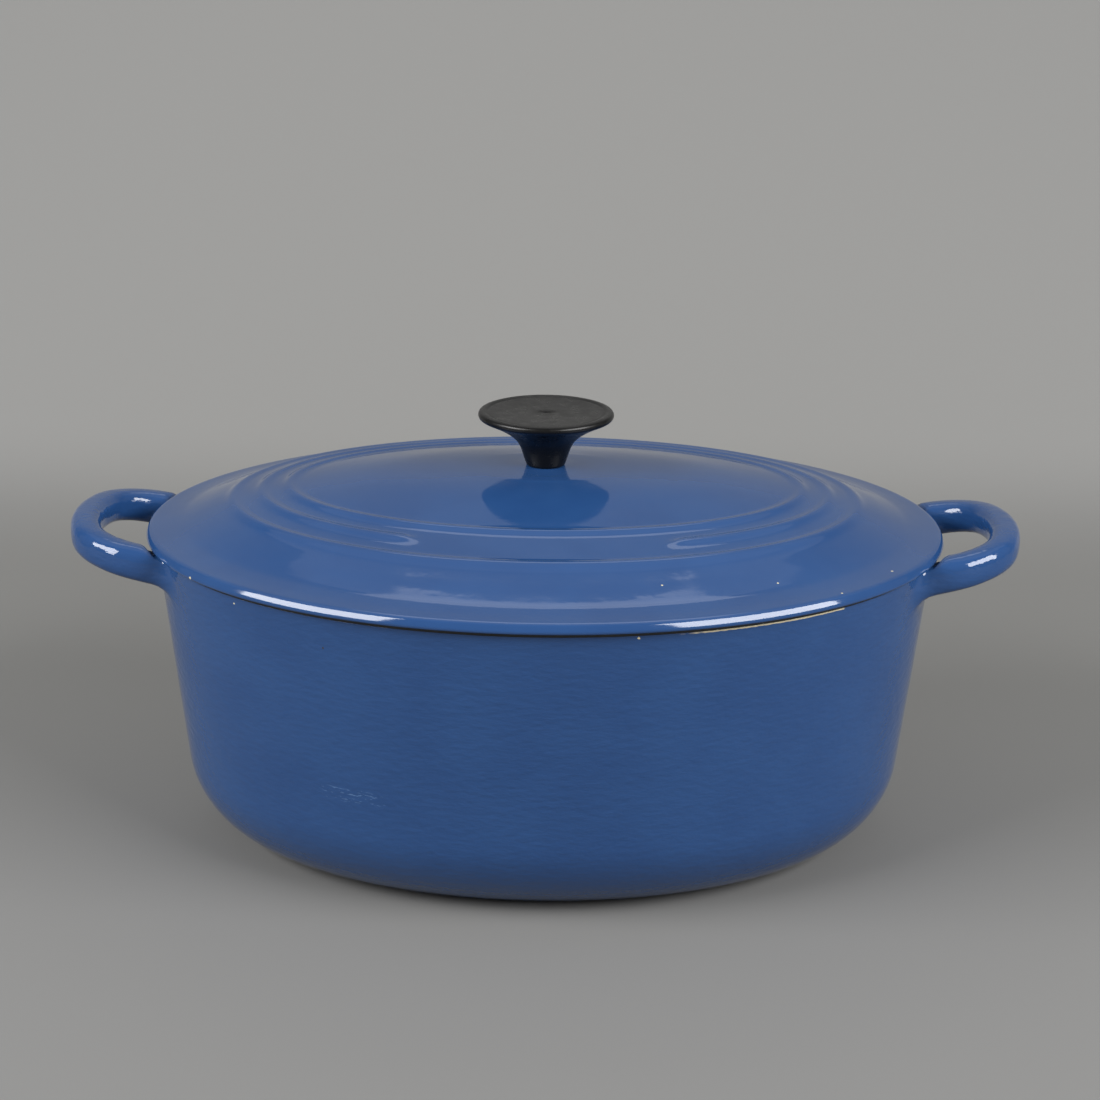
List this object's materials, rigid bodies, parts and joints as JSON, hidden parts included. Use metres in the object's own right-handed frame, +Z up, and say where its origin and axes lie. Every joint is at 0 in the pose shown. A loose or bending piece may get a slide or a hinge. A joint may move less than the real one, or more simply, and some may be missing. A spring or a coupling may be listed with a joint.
{
  "type": "dutch oven",
  "caption": "Oval enamelled cast iron casserole with two loop handles and a lift-off domed lid carrying a round screwed-on knob.",
  "frame": {"origin": "middle of the base, on the surface that the pot stands on", "axes": "+Z up, +X along the length through a loop handle, +Y across the width to the back"},
  "size_m": [0.3884, 0.26, 0.1794],
  "materials": {
    "cast_iron": "raw grey casting under the enamel, seen only at chips",
    "blue_enamel": "glossy vitreous enamel, mid blue, faint orange peel",
    "cream_enamel": "glossy pale sand cooking enamel",
    "black_rim_enamel": "matte black rim enamel",
    "black_phenolic": "moulded black phenolic, satin",
    "brass": "turned brass",
    "stainless": "stainless steel"
  },
  "bodies": {
    "pot": {"pot_casting": "cast_iron", "pot_outer_enamel": "blue_enamel", "pot_base_enamel": "blue_enamel", "pot_inner_enamel": "cream_enamel", "pot_rim_enamel": "black_rim_enamel"},
    "lid": {"lid_casting": "cast_iron", "lid_outer_enamel": "blue_enamel", "lid_inner_enamel": "cream_enamel", "lid_rim_enamel": "black_rim_enamel", "knob": "black_phenolic", "knob_insert": "brass", "knob_screw": "stainless", "knob_washer": "stainless", "knob_lock_washer": "stainless"}
  },
  "joints": [
    {"name": "lid_lift", "type": "slide", "parent": "pot", "child": "lid", "axis": [0, 0, 1], "range_m": [0, 0.12]}
  ]
}
